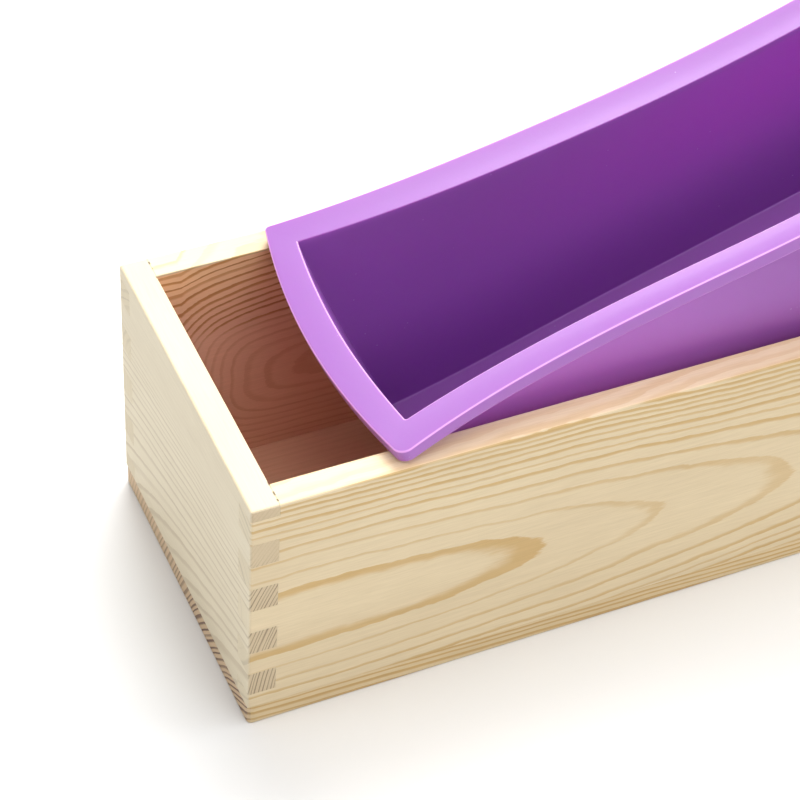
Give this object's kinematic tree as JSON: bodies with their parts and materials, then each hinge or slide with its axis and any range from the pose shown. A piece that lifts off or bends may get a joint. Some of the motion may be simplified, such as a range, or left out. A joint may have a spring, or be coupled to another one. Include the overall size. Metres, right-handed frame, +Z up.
{
  "type": "soap loaf mould",
  "caption": "Long soap loaf mould: a finger-jointed pine box with a loose, rimmed silicone liner that lifts out, shown shifted and tilted.",
  "frame": {"origin": "centre of the box's underside", "axes": "+X along the length of the box, towards the end where the liner is raised; +Y to the back; +Z up"},
  "size_m": [0.3202, 0.0936, 0.1736],
  "materials": {
    "pine": "planed and sanded, unvarnished, with straight and flame grain",
    "silicone": "satin, slightly dusty"
  },
  "bodies": {
    "box": {"front_board": "pine", "back_board": "pine", "left_end_board": "pine", "right_end_board": "pine", "bottom_board": "pine"},
    "liner": {"silicone_liner": "silicone"}
  },
  "joints": [
    {"name": "liner_lift", "type": "slide", "parent": "box", "child": "liner", "axis": [0, 0, 1], "range_m": [0, 0.1]}
  ]
}
